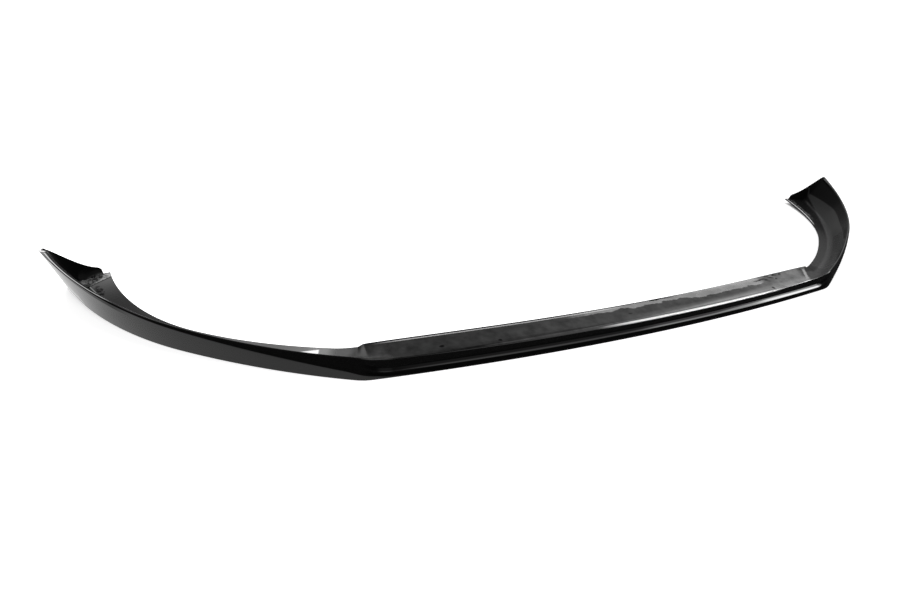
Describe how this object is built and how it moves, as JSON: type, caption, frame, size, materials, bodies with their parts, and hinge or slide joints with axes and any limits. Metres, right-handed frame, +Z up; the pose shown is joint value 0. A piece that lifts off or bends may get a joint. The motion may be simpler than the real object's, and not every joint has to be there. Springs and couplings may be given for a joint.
{
  "type": "front splitter lip",
  "caption": "Long curved front splitter lip formed from one gloss black plastic sheet, with a flat shelf in the middle and raised, swept-back wings at both ends.",
  "frame": {"origin": "under the middle of the lip, on the ground that it rests on, at the centre of its overall width and depth", "axes": "+X across the car towards the part's right end in the picture's front view, the front faces -Y, +Z up"},
  "size_m": [1.7794, 0.3812, 0.0732],
  "materials": {
    "gloss_black_plastic": "high gloss black formed plastic sheet, lightly scuffed along the shelf and at the rear ends"
  },
  "bodies": {
    "root": {"splitter_lip": "gloss_black_plastic"}
  },
  "joints": []
}
